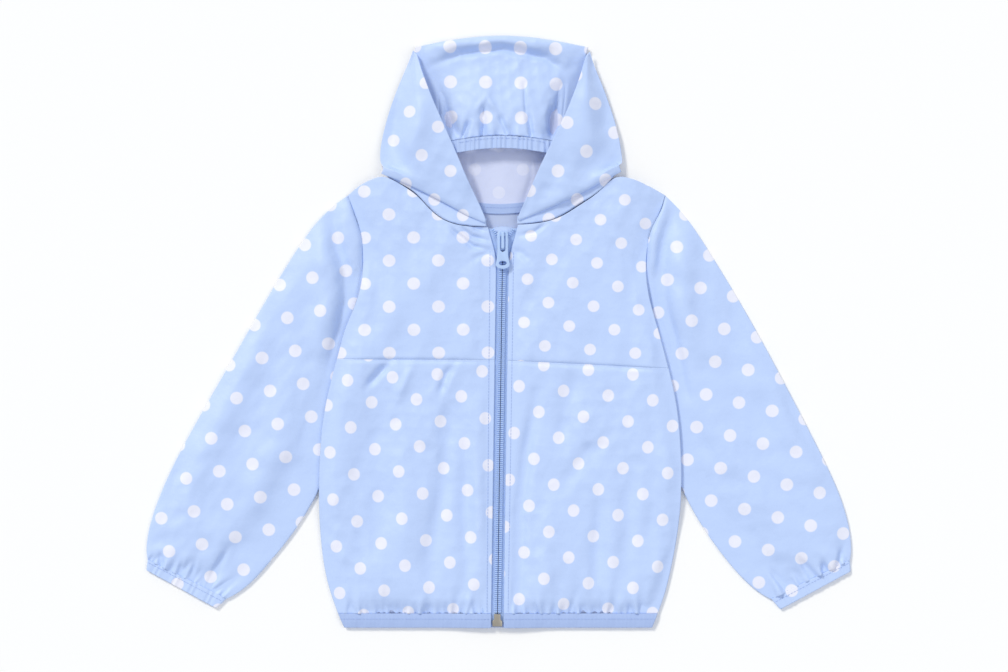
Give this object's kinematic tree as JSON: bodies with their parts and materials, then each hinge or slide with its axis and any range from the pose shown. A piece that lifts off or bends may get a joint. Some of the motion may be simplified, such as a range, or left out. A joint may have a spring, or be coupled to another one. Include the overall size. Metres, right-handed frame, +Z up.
{
  "type": "windbreaker jacket",
  "caption": "Child's hooded zip-front windbreaker lying flat, with a yoke seam, gathered hem band and cuffs, an elasticated hood brim and a pull tab that turns.",
  "frame": {"origin": "on the surface the jacket lies on, under the middle of its overall box", "axes": "+Z up from the surface to the jacket's front, +Y towards the hood, +X towards the wearer's left sleeve"},
  "size_m": [0.5642, 0.4727, 0.0161],
  "materials": {
    "shell_cloth": "light blue woven nylon with a repeat of small white dots, slight sheen",
    "band_cloth": "plain light blue cloth over elastic",
    "hood_wrong_side": "wrong side of the dotted cloth, whitish",
    "zip_tape": "woven zip tape",
    "zip_coil": "nylon coil",
    "enamel": "light blue gloss enamel",
    "antique_brass": "dull antique brass"
  },
  "bodies": {
    "jacket": {"back_panel": "shell_cloth", "cuff_left": "shell_cloth", "cuff_right": "shell_cloth", "front_lower_left": "shell_cloth", "front_lower_right": "shell_cloth", "front_yoke_left": "shell_cloth", "front_yoke_right": "shell_cloth", "hem_band_back": "band_cloth", "hem_band_front_left": "band_cloth", "hem_band_front_right": "band_cloth", "hood_back": "hood_wrong_side", "hood_brim": "band_cloth", "hood_crown": "shell_cloth", "hood_side_left": "shell_cloth", "hood_side_right": "shell_cloth", "neck_binding": "band_cloth", "retainer_box": "antique_brass", "sleeve_left": "shell_cloth", "sleeve_right": "shell_cloth", "zip_coil_left": "zip_coil", "zip_coil_right": "zip_coil", "zip_guard": "shell_cloth", "zip_slider": "enamel", "zip_tape_left": "zip_tape", "zip_tape_right": "zip_tape"},
    "pull_tab": {"pull_tab": "enamel"}
  },
  "joints": [
    {"name": "pull_flip", "type": "hinge", "parent": "jacket", "child": "pull_tab", "pos_m": [0.00305, 0.07685, 0.0084], "axis": [-1, 0, 0], "range_deg": [0, 160]}
  ]
}
